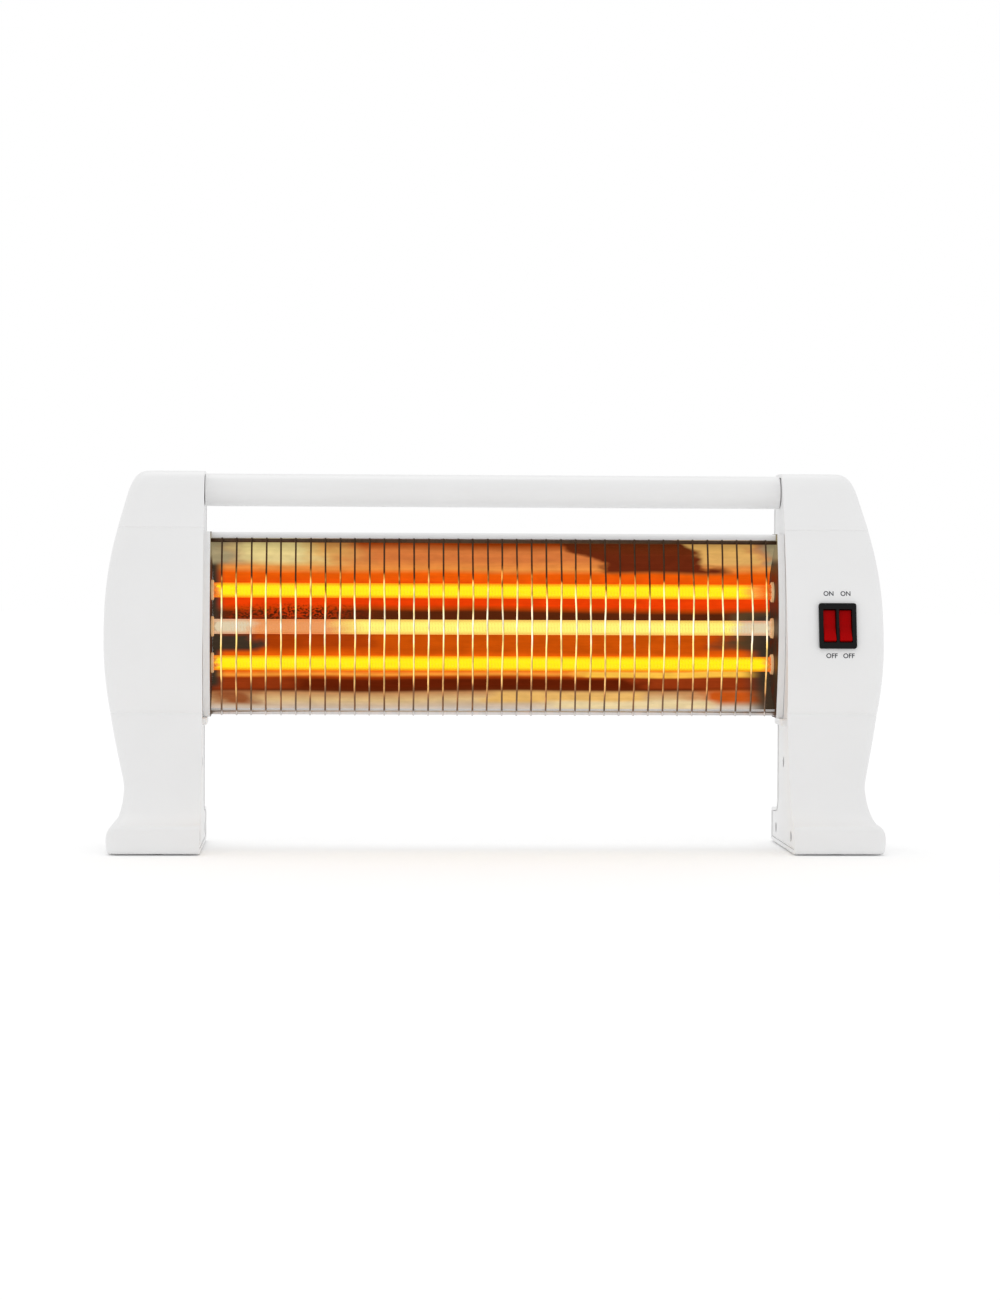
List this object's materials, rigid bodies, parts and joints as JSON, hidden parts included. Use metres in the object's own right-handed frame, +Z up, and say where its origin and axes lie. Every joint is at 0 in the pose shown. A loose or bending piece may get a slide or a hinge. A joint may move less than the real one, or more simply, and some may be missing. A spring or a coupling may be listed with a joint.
{
  "type": "electric bar heater",
  "caption": "Free-standing radiant bar heater: quartz tubes and reflector behind a bowed wire guard between two moulded end towers, with a tubular carrying handle and rocker switches.",
  "frame": {"origin": "on the floor, under the middle of the heater's box", "axes": "+X along the heater to the right as seen from the front, +Y to the back, +Z up; the tubes glow towards -Y"},
  "size_m": [0.52, 0.12, 0.252],
  "materials": {
    "white_plastic": "moulded, satin",
    "black_plastic": "moulded, satin",
    "red_plastic": "moulded, glossy, translucent",
    "grey_rubber": "moulded, matt",
    "zinc_steel": "zinc plated",
    "polished_steel": "bright polished sheet",
    "chrome_wire": "chrome plated wire",
    "painted_steel": "powder coated, satin",
    "quartz_glass": "quartz tube, lit",
    "heating_wire": "resistance wire, glowing",
    "ceramic": "unglazed steatite",
    "brass": "stamped"
  },
  "bodies": {
    "heater_body": {"tower_cover_right": "white_plastic", "tower_cover_left": "white_plastic", "side_plate_right": "white_plastic", "side_plate_left": "white_plastic", "leg_screw_right": "zinc_steel", "leg_screw_left": "zinc_steel", "front_foot_screw_right": "zinc_steel", "front_foot_screw_left": "zinc_steel", "rear_foot_screw_right": "zinc_steel", "rear_foot_screw_left": "zinc_steel", "upper_body_screw_right": "zinc_steel", "upper_body_screw_left": "zinc_steel", "lower_body_screw_right": "zinc_steel", "lower_body_screw_left": "zinc_steel", "front_foot_pad_right": "grey_rubber", "front_foot_pad_left": "grey_rubber", "rear_foot_pad_right": "grey_rubber", "rear_foot_pad_left": "grey_rubber", "handle_tube": "white_plastic", "rear_housing": "painted_steel", "reflector": "polished_steel", "end_cap_right": "painted_steel", "end_cap_left": "painted_steel", "upper_quartz_tube": "quartz_glass", "upper_heating_coil": "heating_wire", "upper_tube_holder_right": "ceramic", "upper_tube_holder_left": "ceramic", "upper_terminal_tab": "brass", "middle_quartz_tube": "quartz_glass", "middle_heating_coil": "heating_wire", "middle_tube_holder_right": "ceramic", "middle_tube_holder_left": "ceramic", "middle_terminal_tab": "brass", "lower_quartz_tube": "quartz_glass", "lower_heating_coil": "heating_wire", "lower_tube_holder_right": "ceramic", "lower_tube_holder_left": "ceramic", "lower_terminal_tab": "brass", "common_strip": "brass", "wire_guard": "chrome_wire", "switch_case": "black_plastic", "switch_spade_1": "brass", "switch_spade_2": "brass", "switch_spade_3": "brass", "switch_spade_4": "brass", "tilt_switch": "black_plastic", "terminal_block": "ceramic", "cord_grommet": "grey_rubber"},
    "left_rocker": {"left_rocker": "red_plastic"},
    "right_rocker": {"right_rocker": "red_plastic"}
  },
  "joints": [
    {"name": "left_rocker_pivot", "type": "hinge", "parent": "heater_body", "child": "left_rocker", "pos_m": [0.2229, -0.01467, 0.14954], "axis": [1, 0, 0], "range_deg": [0, 20]},
    {"name": "right_rocker_pivot", "type": "hinge", "parent": "heater_body", "child": "right_rocker", "pos_m": [0.2335, -0.01467, 0.14954], "axis": [1, 0, 0], "range_deg": [0, 20]}
  ]
}
